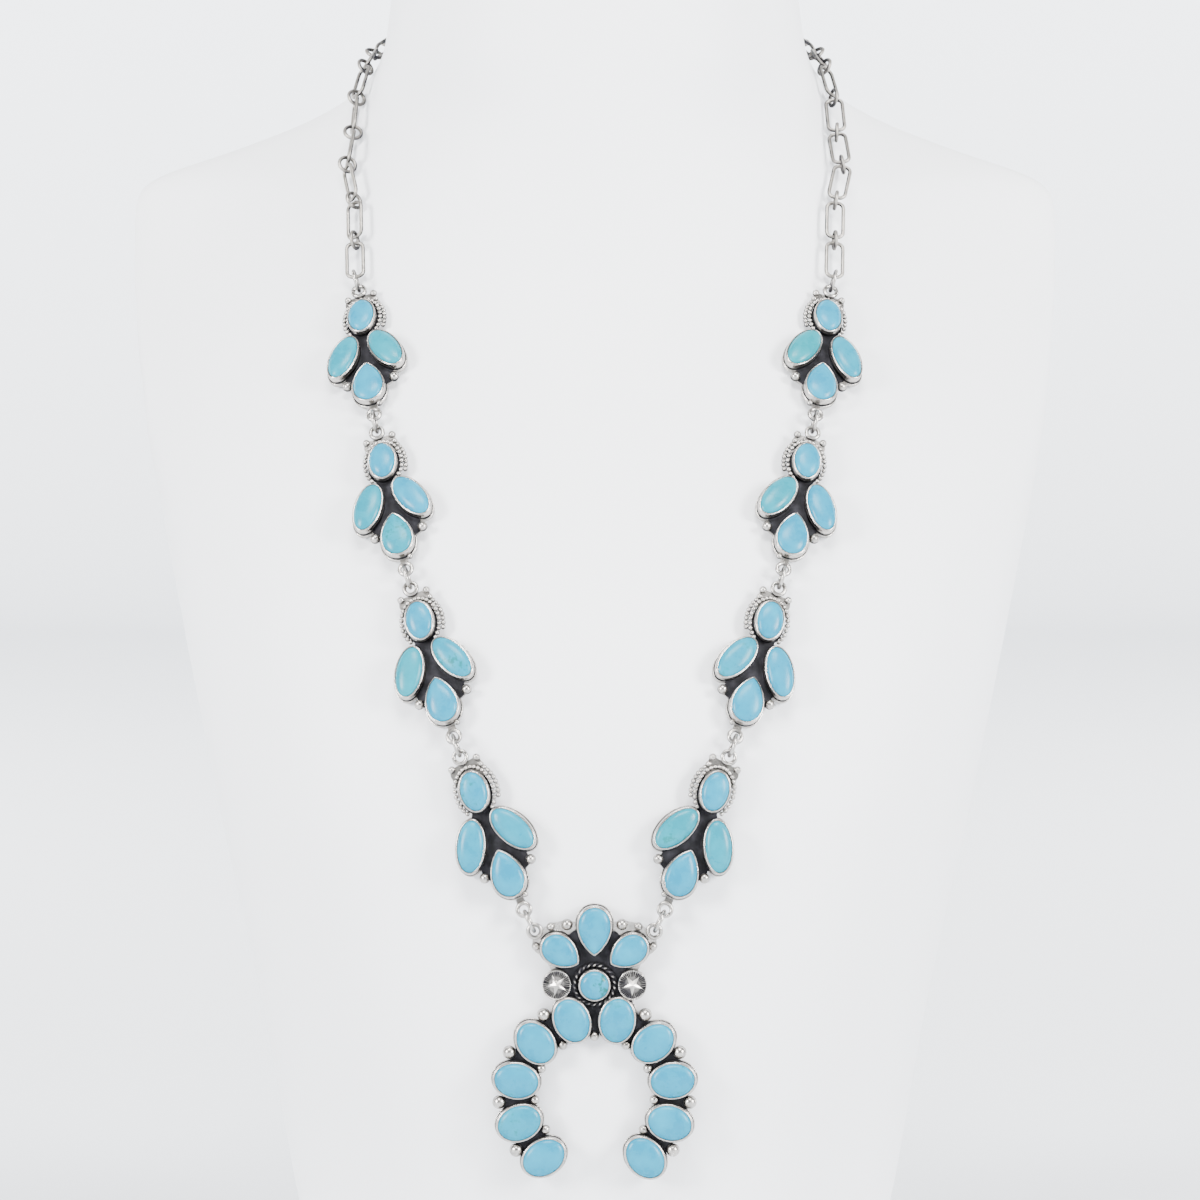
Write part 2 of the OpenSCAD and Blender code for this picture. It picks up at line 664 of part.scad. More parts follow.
// Bust: a smooth shell of points over an exact flat foot. Its rings are even up to the shoulders,
// closer over them, and the top one is drawn in a little.
foot_share = foot_h / bust_h;
shoulder_share = 0.72;
neck_share = 0.90;
neck_levels = [0.93, 0.965, 0.99, 1];
rings = 13;
top_shrink = 0.96;
bust_levels = concat(
    [for (k = [0 : rings]) foot_share + (shoulder_share - foot_share) * k / rings],
    [for (k = [1 : rings]) shoulder_share + (neck_share - shoulder_share) * k / rings],
    neck_levels);
function ring_points(height, shrink) =
    [for (k = [0 : bust_points - 1])
        let (p = skin(360 * k / bust_points, height), c = section_at(height)[SIDE] * bust_d)
        [p[0] * shrink, c + (p[1] - c) * shrink, p[2]]];
module bust() {
    n = bust_points;
    count = len(bust_levels);
    foot = ring_points(bust_levels[0], 1);
    points = [for (r = [0 : count - 1])
        for (p = ring_points(bust_levels[r], r == count - 1 ? top_shrink : 1)) p];
    walls = [for (r = [0 : count - 2]) for (k = [0 : n - 1])
        let (a = r * n + k, b = r * n + (k + 1) % n) [a, a + n, b + n, b]];
    color("whitesmoke") {
        polyhedron(points, concat([[for (k = [0 : n - 1]) k]], walls,
            [[for (k = [n - 1 : -1 : 0]) (count - 1) * n + k]]), convexity = 4);
        linear_extrude(foot_h)
            polygon([for (p = foot) [p[0], p[1]]]);
    }
}

// Stones of the blossoms and of the pendant
module blossom_stone(row, side, which) {
    z = stone_size(blossom_stones[which][KIND]);
    put(blossom_place(row, side))
        blossom_spot(blossom_stones[which], side)
            cabochon(z[0], z[1], z[2]);
}
module naja_stone(k, side) {
    z = stone_size("naja");
    pendant_place()
        naja_spot(k, side)
            cabochon(z[0], z[1], z[2]);
}
module crest_stone() {
    z = stone_size("crest");
    pendant_place()
        crest_spot()
            cabochon(z[0], z[1], z[2]);
}
module wing_stone(side) {
    z = stone_size("wing");
    pendant_place()
        wing_spot(side)
            cabochon(z[0], z[1], z[2]);
}
module round_stone() {
    z = stone_size("round");
    pendant_place()
        cabochon(z[0], z[1], z[2]);
}

side_names = [["left", -1], ["right", 1]];

bust();
chain();
clasp();
jump_rings();
pendant_setting();
crest_stone();
round_stone();
for (s = side_names) {
    wing_stone(s[1]);
    for (k = [1 : naja_count])
        naja_stone(k - 1, s[1]);
    for (row = [1 : blossoms]) {
        put(blossom_place(row, s[1])) blossom_setting(s[1]);
        for (b = [0 : len(blossom_stones) - 1])
            blossom_stone(row, s[1], b);
    }
}
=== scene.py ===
# %% [markdown]
# # A squash blossom necklace on its neck bust
#
# The necklace is silver and turquoise. Eight blossoms hang from a paperclip chain, and between the
# lowest two hangs a naja, the horseshoe pendant. A plain white bust wears it.
#
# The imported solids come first. They say where every stone, link and ring is, so each detailed piece
# below is modelled round its own middle, in millimetres, and then laid where its solid lies.

# %% Load the frame
import random
from math import atan2, cos, hypot, pi, radians, sin, tau

import bmesh
import bpy
import numpy as np
from mathutils import Matrix, Vector


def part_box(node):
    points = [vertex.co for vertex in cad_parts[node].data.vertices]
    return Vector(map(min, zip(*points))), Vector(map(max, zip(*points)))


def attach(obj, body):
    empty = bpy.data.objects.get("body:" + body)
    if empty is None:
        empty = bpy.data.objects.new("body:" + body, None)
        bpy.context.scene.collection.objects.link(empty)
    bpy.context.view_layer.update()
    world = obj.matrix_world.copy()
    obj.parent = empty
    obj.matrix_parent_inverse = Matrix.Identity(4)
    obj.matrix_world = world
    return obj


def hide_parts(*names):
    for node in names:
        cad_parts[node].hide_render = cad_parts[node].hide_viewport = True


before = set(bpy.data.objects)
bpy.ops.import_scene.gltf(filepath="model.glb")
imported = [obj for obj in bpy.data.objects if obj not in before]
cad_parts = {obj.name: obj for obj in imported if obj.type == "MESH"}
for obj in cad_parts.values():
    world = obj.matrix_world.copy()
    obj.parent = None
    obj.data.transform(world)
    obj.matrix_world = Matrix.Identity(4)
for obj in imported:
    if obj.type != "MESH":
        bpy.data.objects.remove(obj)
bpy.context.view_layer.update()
MM = 0.001
print("solids:", len(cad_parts))

# %% [markdown]
# ## Camera
#
# The photo is taken from the front and three degrees above. A long lens from 1.3 m keeps the bust's
# sides almost parallel, as the photo shows them. It is placed first, so that every later look at
# the model is through the same eye.

# %% Place the camera
AIM = Vector((1.375, -75.0, 200.0)) * MM
DISTANCE = 1.3
LOOK_DOWN = radians(3)
eye = bpy.data.objects.new("photo_camera", bpy.data.cameras.new("photo_camera"))
eye.data.lens = 156
eye.data.sensor_width = 36
eye.location = AIM + DISTANCE * Vector((0, -cos(LOOK_DOWN), sin(LOOK_DOWN)))
eye.rotation_euler = (pi / 2 - LOOK_DOWN, 0, 0)
bpy.context.scene.collection.objects.link(eye)
bpy.context.scene.camera = eye
print("camera at", [round(c, 3) for c in eye.location])

# %% [markdown]
# ## Sizes
#
# The stones come in eight kinds, and the star button is kept with them because it is an oval too. A
# jeweller names a cabochon by length and width, so that is how they are kept here, with a third
# number for how sharply it tapers to one end. The layout of a blossom is the one that its solids
# have: the middle of each stone across and down from the top loop, as shares of the blossom's
# length, and the turn in degrees that leans it. All lengths are millimetres until a piece is
# finished.

# %% Name the sizes
STONES = {
    "small": (9.9, 6.7, 0), "outer": (13.1, 6.7, 0), "inner": (13.1, 6.7, 0),
    "pear": (11.8, 7.8, 0.56), "crest": (11.6, 8.0, 0.56), "wing": (9.9, 7.3, 0.42),
    "round": (7.1, 7.1, 0), "naja": (11.0, 8.5, 0), "button": (7.8, 7.2, 0),
}
# Heights over the back of a plate: its front, the stone's flat base, its dome and its bezel's rim
PLATE = 1.1
STONE_BASE = 1.2
STONE_TOP = 4.6
BEZEL_TOP = 3.4
# Loop to loop
BLOSSOM = 41.6
BLOSSOM_STONES = {
    "small": (0, 0.228, 7), "outer": (-0.147, 0.527, 26),
    "inner": (0.130, 0.525, -26), "pear": (-0.008, 0.762, 2),
}
# Rings by outside diameter and wire, and a long link by length, width, wire and bend
LOOP = (4.3, 1.05)
JUMP_RING = (6.45, 0.95)
ROUND_LINK = (5.5, 1.0)
LONG_LINK = (11.4, 5.4, 1.0, 1.6)
# A loop is soldered on a little sunk into the plate
LOOP_LEVEL = PLATE + LOOP[1] / 2 - 0.12
SIDES = {"left": -1, "right": 1}
print("kinds of stone:", ", ".join(STONES))

# %% [markdown]
# ## Helpers for meshes
#
# Nearly everything on a jewel is a lathed or an extruded shape: a profile is drawn beside an axis
# and spun round it. An oval or a pear is the same lathed ring, pressed into another outline
# afterwards, as a bezel strip is bent round its stone. Doing it in this order keeps the wall
# equally thick all round.

# %% Spin a profile
def lathe(profile, steps, closed=False):
    bm = bmesh.new()
    line = [bm.verts.new((reach, 0, height)) for reach, height in profile]
    ends = list(zip(line, line[1:])) + ([(line[-1], line[0])] if closed else [])
    edges = [bm.edges.new(pair) for pair in ends]
    bmesh.ops.spin(bm, geom=line + edges, axis=(0, 0, 1), cent=(0, 0, 0), angle=tau, steps=steps,
                   use_merge=True)
    bmesh.ops.remove_doubles(bm, verts=bm.verts, dist=1e-4)
    bmesh.ops.recalc_face_normals(bm, faces=bm.faces)
    return bm

# %% Press a lathed shape into a stone's outline
def half_width(turn, taper):
    return sin(turn) * sin(turn / 2) ** taper

def press(bm, kind):
    length, width, taper = STONES[kind]
    middle = (length + width) / 4
    widest = max(half_width(radians(t), taper) for t in range(90, 131))
    for v in bm.verts:
        reach, turn = hypot(v.co.x, v.co.y), atan2(v.co.x, v.co.y)
        share, margin = min(reach / middle, 1), max(reach - middle, 0)
        across = half_width(abs(turn), taper) / widest * (1 if turn > 0 else -1)
        v.co.x = (width / 2 * share + margin) * across
        v.co.y = (length / 2 * share + margin) * cos(turn)
    bmesh.ops.recalc_face_normals(bm, faces=bm.faces)
    return bm

# %% Join shapes into one mesh
def add(target, part, place=Matrix.Identity(4)):
    mesh = bpy.data.meshes.new("part")
    part.to_mesh(mesh)
    part.free()
    mesh.transform(place)
    target.from_mesh(mesh)
    bpy.data.meshes.remove(mesh)

def at(x, y, z=0, turn=0):
    return Matrix.Translation((x, y, z)) @ Matrix.Rotation(radians(turn), 4, "Z")

def smooth_step(low, high, value):
    t = max(0, min(1, (value - low) / (high - low)))
    return t * t * (3 - 2 * t)

# %% [markdown]
# ## Where the solids lie
#
# A blossom's place is found from its four stones: the middles of the stones in the layout are
# fitted to the middles of the solids by the one turn and shift that match them best. Links and
# rings are loose solids in one node. Each is taken apart from the others, and the directions in
# which its corners spread most and least are its length and its axis.

# %% Read corners and loose solids from a node
def corners(name):
    return np.array(sorted({tuple(round(c / MM, 3) for c in v.co)
                            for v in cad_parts[name].data.vertices}))

def loose_solids(name):
    bm = bmesh.new()
    bm.from_mesh(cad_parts[name].data)
    bmesh.ops.remove_doubles(bm, verts=bm.verts, dist=1e-6)
    left, found = set(bm.verts), []
    while left:
        edge = [left.pop()]
        solid = list(edge)
        while edge:
            near = {e.other_vert(v) for v in edge for e in v.link_edges} & left
            left -= near
            edge = list(near)
            solid += edge
        found.append(np.array([v.co / MM for v in solid]))
    bm.free()
    return found

# %% Fit a layout to solids, and a wire shape to a loose solid
def fit(layout, solids):
    a, b = np.array(layout, float), np.array(solids, float)
    u, _, vt = np.linalg.svd((a - a.mean(0)).T @ (b - b.mean(0)))
    turn = vt.T @ np.diag([1, 1, np.sign(np.linalg.det(vt.T @ u.T))]) @ u.T
    place = Matrix(turn.tolist()).to_4x4()
    place.translation = Vector(b.mean(0) - turn @ a.mean(0))
    return place

def wire_place(points):
    middle = points.mean(0)
    _, axes = np.linalg.eigh(np.cov((points - middle).T))
    along_axes = (points - middle) @ axes
    middle = middle + axes @ ((along_axes.max(0) + along_axes.min(0)) / 2)
    across, along = Vector(axes[:, 1]), Vector(axes[:, 2])
    place = Matrix((across, along, across.cross(along))).transposed().to_4x4()
    place.translation = Vector(middle)
    return place

# %% Find the eight blossoms and the pendant
def stone_spot(kind, side):
    across, down, turn = BLOSSOM_STONES[kind]
    return at(-side * across * BLOSSOM, (0.5 - down) * BLOSSOM, 0, side * turn)

def blossom_place(side_name, row):
    side = SIDES[side_name]
    solids = {k: corners(f"{side_name}_blossom_{row}_{k}_stone") for k in BLOSSOM_STONES}
    place = fit([stone_spot(k, side).translation for k in BLOSSOM_STONES],
                [solids[k].mean(0) for k in BLOSSOM_STONES])
    out = np.array(place.col[2][:3])
    base = min(solids["small"] @ out) - STONE_BASE
    place.translation += Vector(out) * (base - place.translation.dot(Vector(out)))
    return place

blossom_places = {(s, row): blossom_place(s, row) for s in SIDES for row in range(1, 5)}
low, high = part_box("round_stone")
pendant_place = Matrix(((1, 0, 0), (0, 0, -1), (0, 1, 0))).to_4x4()
pendant_place.translation = Vector(((low.x + high.x) / 2, high.y, (low.z + high.z) / 2)) / MM
pendant_place.translation.y += STONE_BASE
for key, place in blossom_places.items():
    print(*key, "at", [round(c, 1) for c in place.translation])
print("pendant at", [round(c, 1) for c in pendant_place.translation])

# %% [markdown]
# ## Silver
#
# The maker blackens the finished silver and then polishes what a buffing wheel reaches, so the wire
# and the bezels shine while the hollows between them stay black. Each silver mesh carries one
# attribute, worked out from its own shape. It says how deep in a hollow a point is, and on balls,
# beads, rings and wires how far a point faces away from the front, which is painted shade. One node
# group turns it into colour, roughness and fine polishing marks, and every silver material uses it.

# %% Helpers for node materials
def new_group(name, inputs, outputs):
    group = bpy.data.node_groups.new(name, "ShaderNodeTree")
    for label, kind, value in inputs:
        group.interface.new_socket(label, in_out="INPUT", socket_type=kind).default_value = value
    for label, kind in outputs:
        group.interface.new_socket(label, in_out="OUTPUT", socket_type=kind)
    return group, group.nodes.new("NodeGroupInput"), group.nodes.new("NodeGroupOutput")

def feed(tree, socket, value):
    if isinstance(value, bpy.types.NodeSocket):
        tree.links.new(value, socket)
    else:
        socket.default_value = value

def node(tree, kind, settings=None, **inputs):
    made = tree.nodes.new(kind)
    for key, value in (settings or {}).items():
        setattr(made, key, value)
    for name, value in inputs.items():
        feed(tree, made.inputs[name], value)
    return made

def attribute(tree, name):
    return node(tree, "ShaderNodeAttribute", {"attribute_name": name}).outputs["Fac"]

def noise(tree, where, scale, detail, **more):
    made = node(tree, "ShaderNodeTexNoise", Vector=where, Scale=scale, Detail=detail, **more)
    return made.outputs["Fac"]

def reckon(tree, operation, *values):
    made = node(tree, "ShaderNodeMath", {"operation": operation})
    for socket, value in zip(made.inputs, values):
        feed(tree, socket, value)
    return made.outputs[0]

def spread(tree, value, low, high, new_low=0, new_high=1, smooth=False):
    """Turn a value from one range into another."""
    kind = "SMOOTHSTEP" if smooth else "LINEAR"
    made = node(tree, "ShaderNodeMapRange", {"interpolation_type": kind})
    for socket, number in zip(made.inputs, (value, low, high, new_low, new_high)):
        feed(tree, socket, number)
    return made.outputs[0]

def bump(tree, height, strength, distance):
    made = node(tree, "ShaderNodeBump", Height=height, Strength=strength, Distance=distance)
    return made.outputs[0]

def mixed(tree, factor, a, b):
    made = node(tree, "ShaderNodeMix", {"data_type": "RGBA"})
    for number, value in ((0, factor), (6, a), (7, b)):
        feed(tree, made.inputs[number], value)
    return made.outputs[2]

def new_material(name):
    material = bpy.data.materials.new(name)
    material.use_nodes = True
    return material, material.node_tree, material.node_tree.nodes["Principled BSDF"]

# %% The blackened and polished silver group, which also paints shade
COLOUR, FLOAT, VECTOR = "NodeSocketColor", "NodeSocketFloat", "NodeSocketVector"
DULL_SILVER, RUBBED_BLACK = (0.2, 0.19, 0.175, 1), (0.07, 0.068, 0.08, 1)
silver_group, given, put = new_group(
    "buffed_silver",
    [("Silver", COLOUR, (0.9, 0.89, 0.87, 1)), ("Black", COLOUR, (0.02, 0.02, 0.022, 1)),
     ("Polish", FLOAT, 0.14), ("Tarnish", FLOAT, 0.25)],
    [("Color", COLOUR), ("Roughness", FLOAT), ("Normal", VECTOR)])
where = silver_group.nodes.new("ShaderNodeTexCoord").outputs["Object"]
clouds = noise(silver_group, where, 420.0, 4.0)
grains = noise(silver_group, where, 2600.0, 3.0)
ragged = reckon(silver_group, "MULTIPLY_ADD", clouds, 0.5, -0.25)
# The attribute is real blackening in the hollows and painted shade on the sides of balls and wires
depth = reckon(silver_group, "ADD", attribute(silver_group, "oxide_and_shade"), ragged)
black = spread(silver_group, depth, 0.3, 0.72, smooth=True)
worn = spread(silver_group, clouds, 0.5, 0.75, 0.0, given.outputs["Tarnish"])
dull = mixed(silver_group, worn, given.outputs["Silver"], DULL_SILVER)
streaks = spread(silver_group, clouds, 0.45, 0.72, 0.0, 0.4)
blacking = mixed(silver_group, streaks, given.outputs["Black"], RUBBED_BLACK)
feed(silver_group, put.inputs["Color"], mixed(silver_group, black, dull, blacking))
rough = reckon(silver_group, "MULTIPLY_ADD", clouds, 0.16, given.outputs["Polish"])
rougher = reckon(silver_group, "MULTIPLY_ADD", black, 0.35, rough)
feed(silver_group, put.inputs["Roughness"], rougher)
feed(silver_group, put.inputs["Normal"], bump(silver_group, grains, 0.12, 0.0001))
print("silver group nodes:", len(silver_group.nodes))

# %% Two silvers
def silver_material(name, colour, polish, tarnish):
    material, tree, shader = new_material(name)
    group = node(tree, "ShaderNodeGroup", {"node_tree": silver_group},
                 Silver=(*colour, 1), Polish=polish, Tarnish=tarnish)
    feed(tree, shader.inputs["Base Color"], group.outputs["Color"])
    feed(tree, shader.inputs["Roughness"], group.outputs["Roughness"])
    feed(tree, shader.inputs["Normal"], group.outputs["Normal"])
    shader.inputs["Metallic"].default_value = 1
    return material

setting_silver = silver_material("setting_silver", (0.43, 0.41, 0.385), polish=0.2, tarnish=0.7)
wire_silver = silver_material("wire_silver", (0.31, 0.29, 0.262), polish=0.3, tarnish=0.6)
print("silver materials:", setting_silver.name, wire_silver.name)

# %% [markdown]
# ## Finishing a piece
#
# A finished piece is turned to metres, gets its smooth and sharp edges, and takes its material. Its
# object stays at the origin with its place in its mesh, as the solids have it. The check counts
# open edges, because a jewel's silver is closed all round.

# %% Turn a bmesh into a finished piece
SHARP = radians(42)
def finish_piece(name, bm, material, nodes, place=Matrix.Identity(4)):
    bmesh.ops.transform(bm, matrix=Matrix.Scale(MM, 4) @ place, verts=bm.verts)
    for face in bm.faces:
        face.smooth = True
    for edge in bm.edges:
        edge.smooth = len(edge.link_faces) == 2 and edge.calc_face_angle() < SHARP
    opened = sum(1 for e in bm.edges if len(e.link_faces) != 2)
    mesh = bpy.data.meshes.new(name)
    bm.to_mesh(mesh)
    bm.free()
    mesh.materials.append(material)
    piece = bpy.data.objects.new(name, mesh)
    bpy.context.scene.collection.objects.link(piece)
    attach(piece, "root")
    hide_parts(*nodes)
    triangles = sum(len(p.vertices) - 2 for p in mesh.polygons)
    print(name, "triangles", triangles, "open edges", opened)
    return piece

# %% [markdown]
# ## Bezels, balls and loops
#
# A bezel is a thin strip of silver bent round the stone and pushed over its edge all the way round,
# so its rim leans inwards. It stands on a plate that is cut a little larger. The strip's section is
# lathed once and pressed to the outline of each stone.

# %% Bezel with its plate
# The strip's section, each point by its distance outside the stone's edge and its height
BEZEL_SECTION = [(0.12, 1.0), (0.10, 2.9), (0.02, 3.24), (0.04, 3.38), (0.17, BEZEL_TOP + 0.02),
                 (0.34, 3.36), (0.47, 3.2), (0.55, 2.8), (0.57, 2.2), (0.57, 1.6), (0.57, 1.0)]
PLATE_LIP = 0.92
# The strip's foot is dark out to FOOT_REACH, and fades between two heights over the plate
FOOT_REACH, FOOT_DARK, FOOT_FADE = 0.75, 0.75, (0.2, 1.3)
def bezel(kind, lift):
    length, width, _ = STONES[kind]
    middle = (length + width) / 4
    lip, top = middle + PLATE_LIP, PLATE + lift
    bm = lathe([(middle + m, z) for m, z in BEZEL_SECTION], 72, closed=True)
    disc = [(0, lift), (lip - 0.08, lift), (lip, lift + 0.1), (lip, top - 0.16),
            (lip - 0.05, top - 0.05), (lip - 0.12, top), (middle + 0.7, top), (middle + 0.2, top),
            (0, top)]
    add(bm, lathe(disc, 72))
    layer = bm.verts.layers.float.new("oxide_and_shade")
    for v in bm.verts:
        if hypot(v.co.x, v.co.y) < middle + FOOT_REACH:
            fade = smooth_step(top + FOOT_FADE[0], top + FOOT_FADE[1], v.co.z)
            v[layer] = FOOT_DARK * (1 - fade) * (v.co.z > 0.9)
    return press(bm, kind)

# %% Ball, bead and loop, with painted shade at their sides
def paint_side_shade(bm, most=0.7, rise=0.7):
    """Paint shade on what doesn't face the front: most at the sides, none where the normal rises
    enough.
    """
    bm.normal_update()
    layer = bm.verts.layers.float.new("oxide_and_shade")
    for v in bm.verts:
        v[layer] = most * (1 - smooth_step(0.0, rise, v.normal.z))
    return bm

def ball(size, segments=20):
    bm = bmesh.new()
    bmesh.ops.create_uvsphere(bm, u_segments=segments, v_segments=segments * 2 // 3,
                              radius=size / 2)
    return paint_side_shade(bm)

def bead(size):
    bm = bmesh.new()
    bmesh.ops.create_icosphere(bm, subdivisions=2, radius=size / 2)
    return paint_side_shade(bm, most=0.95, rise=0.9)

def wire_ring(outside, wire, steps=48, sides=14):
    middle, turns = (outside - wire) / 2, [tau * k / sides for k in range(sides)]
    section = [(middle + wire / 2 * cos(t), wire / 2 * sin(t)) for t in turns]
    return paint_side_shade(lathe(section, steps, closed=True), most=0.8, rise=0.85)

# %% [markdown]
# ## How deep in a hollow a point is
#
# The black is where the buffing wheel can't reach: on the sheet between the stones and at the foot
# of the bezels that face it. So a point counts as hollow when it lies well inside the outline of
# that sheet and low over it. Towards the outline's edge and towards the rims it fades. Balls, beads
# and wires stand proud and are buffed all over, so they are soldered on after the marking. Their
# sides carry painted shade instead of blackening.

# %% Distance inside an outline, and the hollow attribute
def inside_by(outline, x, y):
    """How far inside a closed outline a point is, negative outside."""
    least, inside = 1e9, False
    for (ax, ay), (bx, by) in zip(outline, outline[1:] + outline[:1]):
        dx, dy = bx - ax, by - ay
        t = max(0, min(1, ((x - ax) * dx + (y - ay) * dy) / (dx * dx + dy * dy)))
        least = min(least, hypot(x - ax - t * dx, y - ay - t * dy))
        if (ay > y) != (by > y) and x < ax + (y - ay) / dy * dx:
            inside = not inside
    return least if inside else -least

# From clean to black by the distance inside the outline, and from black to clean by height. The
# back of a sheet lies below BACK_BELOW and is left as it is.
INSIDE_FADE, HEIGHT_FADE = (-0.9, 0.3), (1.3, 3.1)
BACK_BELOW = 0.5
def mark_hollows(bm, outlines):
    layer = bm.verts.layers.float.get("oxide_and_shade")
    for v in bm.verts:
        height = 1 - smooth_step(*HEIGHT_FADE, v.co.z)
        if height > 0 and v.co.z > BACK_BELOW:
            deep = max(inside_by(outline, v.co.x, v.co.y) for outline in outlines)
            v[layer] = max(v[layer], height * smooth_step(*INSIDE_FADE, deep))

# %% [markdown]
# ## A blossom's silver
#
# Four bezels stand on one sheet. Round the small oval runs an arch of beads, called granulation,
# with a second row on its outer side. Larger balls fill the corners, and a loop lies at each end.
# The two sides are mirror images: side is 1 on the right and -1 on the left, and turns each shape
# over. Sheets and bezels differ a little in height, so that no two of their faces lie in one plane.

# %% Sheets and outlines
def only(kind, geometry):
    return [g for g in geometry if isinstance(g, kind)]

def sheet(outline, low, high):
    bm = bmesh.new()
    face = bm.faces.new([bm.verts.new((x, y, low)) for x, y in outline])
    top = bmesh.ops.extrude_face_region(bm, geom=[face])["geom"]
    bmesh.ops.translate(bm, vec=(0, 0, high - low), verts=only(bmesh.types.BMVert, top))
    bmesh.ops.recalc_face_normals(bm, faces=bm.faces)
    bmesh.ops.triangulate(bm, faces=[f for f in bm.faces if len(f.verts) > 4])
    for length in (8, 4, 2):
        too_long = [e for e in bm.edges if e.calc_length() > length]
        bmesh.ops.subdivide_edges(bm, edges=too_long, cuts=1, use_grid_fill=True)
        bmesh.ops.triangulate(bm, faces=[f for f in bm.faces if len(f.verts) > 4])
    return bm

def down_across(rows, side):
    return [(-side * across * BLOSSOM, (0.5 - down) * BLOSSOM) for across, down in rows]

# Outlines and balls across and down from the top loop, as shares of the blossom's length
WEB = [(-0.06, 0.33), (0.06, 0.33), (0.12, 0.44), (0.155, 0.75), (0, 0.82), (-0.155, 0.74),
       (-0.12, 0.44)]
CROWN = [(-0.09, 0.045), (0.1, 0.03), (0.115, 0.1), (0.08, 0.18), (-0.08, 0.18), (-0.1, 0.09)]
BALLS = [(-0.147, 0.732, 2.6), (0.155, 0.735, 2.6), (-0.078, 0.050, 1.87), (0.090, 0.037, 1.87),
         (0.098, 0.085, 1.5)]
# The middle of the arch runs a bezel and most of a bead outside the small stone, on both sides
TWO_BEZELS, TWO_BEADS = 1.14, 1.87
ARCH = [size + TWO_BEZELS + TWO_BEADS for size in STONES["small"][:2]]
# Beads of the inner row, and the degrees from its middle to its last bead. Then the outer row's
# beads, its first bead and step in degrees, and how far outside the inner row it runs.
ARCH_BEADS, ARCH_HALF_TURN = 24, 138
OUTER_BEADS, OUTER_FIRST, OUTER_STEP, OUTER_BY = 9, 34, 9.3, 0.95
BEAD, BEAD_SPREAD = 1.1, (1.05, 1.25)
# A ball beside the pear stone's foot: across and down from the pear's middle, and its size
FOOT_BALL = (2.1, 6.4, 1.5)
STRIP_HALF = 1.05
BALL_LEVEL, ARCH_LEVEL, OUTER_LEVEL = PLATE + 0.1, PLATE + 0.45, PLATE - 0.2

def on_arch(turn, out=0):
    return (ARCH[1] / 2 + out) * sin(turn), (ARCH[0] / 2 + out) * cos(turn)

# %% Build the blossom
def blossom_silver(side):
    bm = bmesh.new()
    spot = stone_spot("small", side)
    for k, kind in enumerate(BLOSSOM_STONES):
        add(bm, bezel(kind, 0.01 * k), stone_spot(kind, side))
    add(bm, sheet(down_across(WEB, side), 0.05, PLATE - 0.04))
    arch = [at(*on_arch(tau * k / ARCH_BEADS)).translation for k in range(ARCH_BEADS)]
    mark_hollows(bm, [down_across(WEB, side), [tuple((spot @ p)[:2]) for p in arch]])
    add(bm, sheet(down_across(CROWN, side), 0.06, PLATE + 0.02))
    half, reach = STRIP_HALF, BLOSSOM / 2 - (LOOP[0] - LOOP[1]) / 2
    strip = [(-half, -reach), (half, -reach), (half, reach), (-half, reach)]
    add(bm, sheet(strip, 0.07, PLATE - 0.06))
    x, y = stone_spot("pear", side).translation[:2]
    add(bm, ball(FOOT_BALL[2]), at(x - side * FOOT_BALL[0], y - FOOT_BALL[1], BALL_LEVEL))
    for across, down, size in BALLS:
        (x, y), = down_across([(across, down)], side)
        add(bm, ball(size), at(x, y, BALL_LEVEL))
    for end in (-1, 1):
        add(bm, wire_ring(*LOOP), at(0, end * BLOSSOM / 2, LOOP_LEVEL))
    beads = random.Random(11)
    for k in range(ARCH_BEADS):
        turn = radians(ARCH_HALF_TURN) * (2 * k / (ARCH_BEADS - 1) - 1)
        add(bm, bead(BEAD * beads.uniform(*BEAD_SPREAD)), spot @ at(*on_arch(turn), ARCH_LEVEL))
    for k in range(OUTER_BEADS):
        turn = radians(-side * (OUTER_FIRST + OUTER_STEP * k))
        place = at(*on_arch(turn, OUTER_BY), OUTER_LEVEL)
        add(bm, bead(BEAD * beads.uniform(*BEAD_SPREAD)), spot @ place)
    return bm

for (side_name, row), place in blossom_places.items():
    blossom = f"{side_name}_blossom_{row}"
    finish_piece(f"{blossom}_silverwork", blossom_silver(SIDES[side_name]), setting_silver,
                 [f"{blossom}_setting"], place)

# %% [markdown]
# ## The naja pendant's silver
#
# Ten ovals stand in a horseshoe and three pears and a round stone make a flower above it. A ring of
# twisted wire runs round the round stone and a stamped button with a star stands on each side.
# Balls fill the gaps between the ovals, large ones outside and small ones inside.

# %% Layout of the pendant
NAJA_R, NAJA_DROP = 20, 28
NAJA_FIRST, NAJA_STEP = 16.5, 31
# Each oval's own turn in degrees, left and right, from the top down
NAJA_SLIPS = [(-7, 9), (9, -5), (-2, -6), (-2, 3), (18, 1)]
CREST_UP, WING_AT, WING_TURN = 13.7, 8.5, 125
PENDANT_STONES = {
    "crest_stone": ("crest", at(0, CREST_UP, 0, 180)),
    "round_stone": ("round", at(0, 0)),
}
for side_name, side in SIDES.items():
    wing = at(side * WING_AT, WING_AT, 0, side * WING_TURN)
    PENDANT_STONES[f"{side_name}_wing_stone"] = ("wing", wing)
    for k, slips in enumerate(NAJA_SLIPS):
        angle = NAJA_FIRST + NAJA_STEP * k
        x, y = side * NAJA_R * sin(radians(angle)), NAJA_R * cos(radians(angle)) - NAJA_DROP
        turn = -side * (angle - slips[0 if side < 0 else 1])
        PENDANT_STONES[f"{side_name}_naja_stone_{k + 1}"] = ("naja", at(x, y, 0, turn))
print("stones of the pendant:", len(PENDANT_STONES))

# %% Outlines of the pendant's sheets
def both_halves(half):
    return half + [(-x, y) for x, y in reversed(half)]

def naja_arc(radius, turns):
    return [(radius * sin(radians(t)), radius * cos(radians(t)) - NAJA_DROP) for t in turns]

